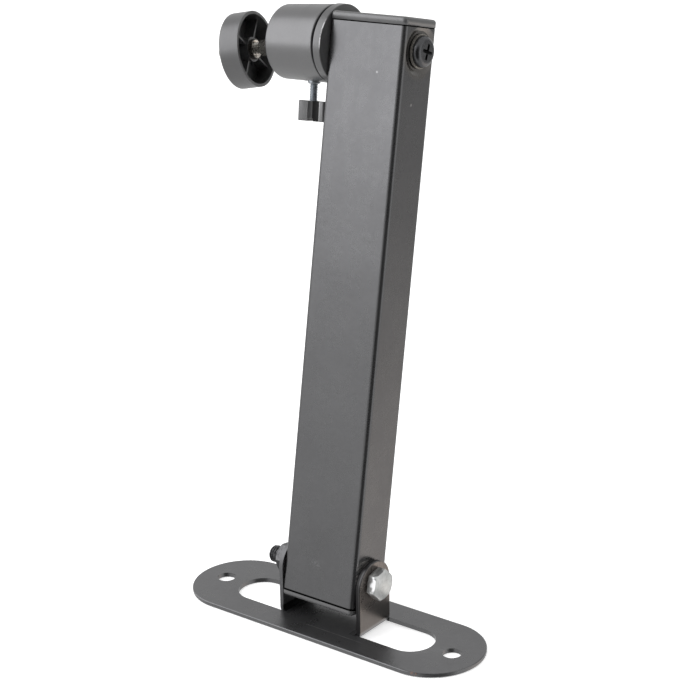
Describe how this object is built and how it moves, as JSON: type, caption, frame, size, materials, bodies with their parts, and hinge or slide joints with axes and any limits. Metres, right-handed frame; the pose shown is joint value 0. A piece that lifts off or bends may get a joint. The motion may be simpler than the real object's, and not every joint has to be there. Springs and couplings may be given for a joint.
{
  "type": "projector wall mount",
  "caption": "Tilting wall mount: oval plate, rectangular arm on a bolt, and a ball head with a locking disc and threaded stud.",
  "frame": {"origin": "centre of the wall plate on its back face, midway between the wall screw holes", "axes": "+Z out of the wall along the plate's normal, +X along the plate's long axis; the ball head is on the -X side of the arm"},
  "size_m": [0.1624, 0.0887, 0.2692],
  "materials": {
    "black_steel": "satin black powder coat",
    "black_plastic": "satin moulded",
    "head_plastic": "satin moulded",
    "zinc": "bright zinc plate",
    "dark_steel": "black oxide",
    "bright_steel": "nickel plate",
    "brass": "turned",
    "rubber": "matt"
  },
  "bodies": {
    "base": {"base_plate": "black_steel", "pivot_bolt": "zinc", "pivot_nut": "dark_steel", "pivot_washer": "dark_steel"},
    "arm": {"arm_tube": "black_steel", "top_cap": "black_plastic", "bottom_cap": "black_plastic", "head_screw": "dark_steel", "screw_washer": "dark_steel", "base_collar": "head_plastic", "head_nut": "zinc"},
    "head": {"ball_shell": "head_plastic", "thumb_insert": "dark_steel"},
    "pad": {"pressure_pad": "brass"},
    "thumb_screw": {"thumb_rod": "zinc", "thumb_handle": "black_plastic"},
    "ball": {"ball_stud": "bright_steel"},
    "grip_washer": {"rubber_washer": "rubber"},
    "disc": {"locking_disc": "head_plastic", "disc_bush": "bright_steel"}
  },
  "joints": [
    {"name": "arm_tilt", "type": "hinge", "parent": "base", "child": "arm", "pos_m": [0, 0, 0.0238], "axis": [1, 0, 0], "range_deg": [-78.6, 101.3]},
    {"name": "head_pan", "type": "hinge", "parent": "arm", "child": "head", "pos_m": [-0.02, 0.04738, 0.25194], "axis": [-0.9986, -0.0103, -0.0513], "range_deg": [-180, 180]},
    {"name": "ball_tilt", "type": "hinge", "parent": "head", "child": "ball", "pos_m": [-0.04137, 0.04716, 0.25084], "axis": [-0.0389, -0.5083, 0.8603], "range_deg": [-43.6, 16.4]},
    {"name": "pad_travel", "type": "slide", "parent": "head", "child": "pad", "axis": [-0.0523, 0.1969, 0.979], "range_m": [-0.00105, 0]},
    {"name": "thumb_turn", "type": "hinge", "parent": "pad", "child": "thumb_screw", "pos_m": [-0.03598, 0.04722, 0.25111], "axis": [-0.0523, 0.1969, 0.979], "range_deg": [-541, 1]},
    {"name": "disc_travel", "type": "slide", "parent": "ball", "child": "grip_washer", "axis": [-0.9623, -0.2129, -0.1694], "range_m": [-0.00127, 0.00127]},
    {"name": "disc_turn", "type": "hinge", "parent": "grip_washer", "child": "disc", "pos_m": [-0.07024, 0.04078, 0.24576], "axis": [-0.9623, -0.2129, -0.1694], "range_deg": [-361, 361]}
  ],
  "couplings": [
    {"joint": "thumb_turn", "follows": "pad_travel", "rad_per_m": 8976},
    {"joint": "disc_turn", "follows": "disc_travel", "rad_per_m": 4947.4}
  ]
}
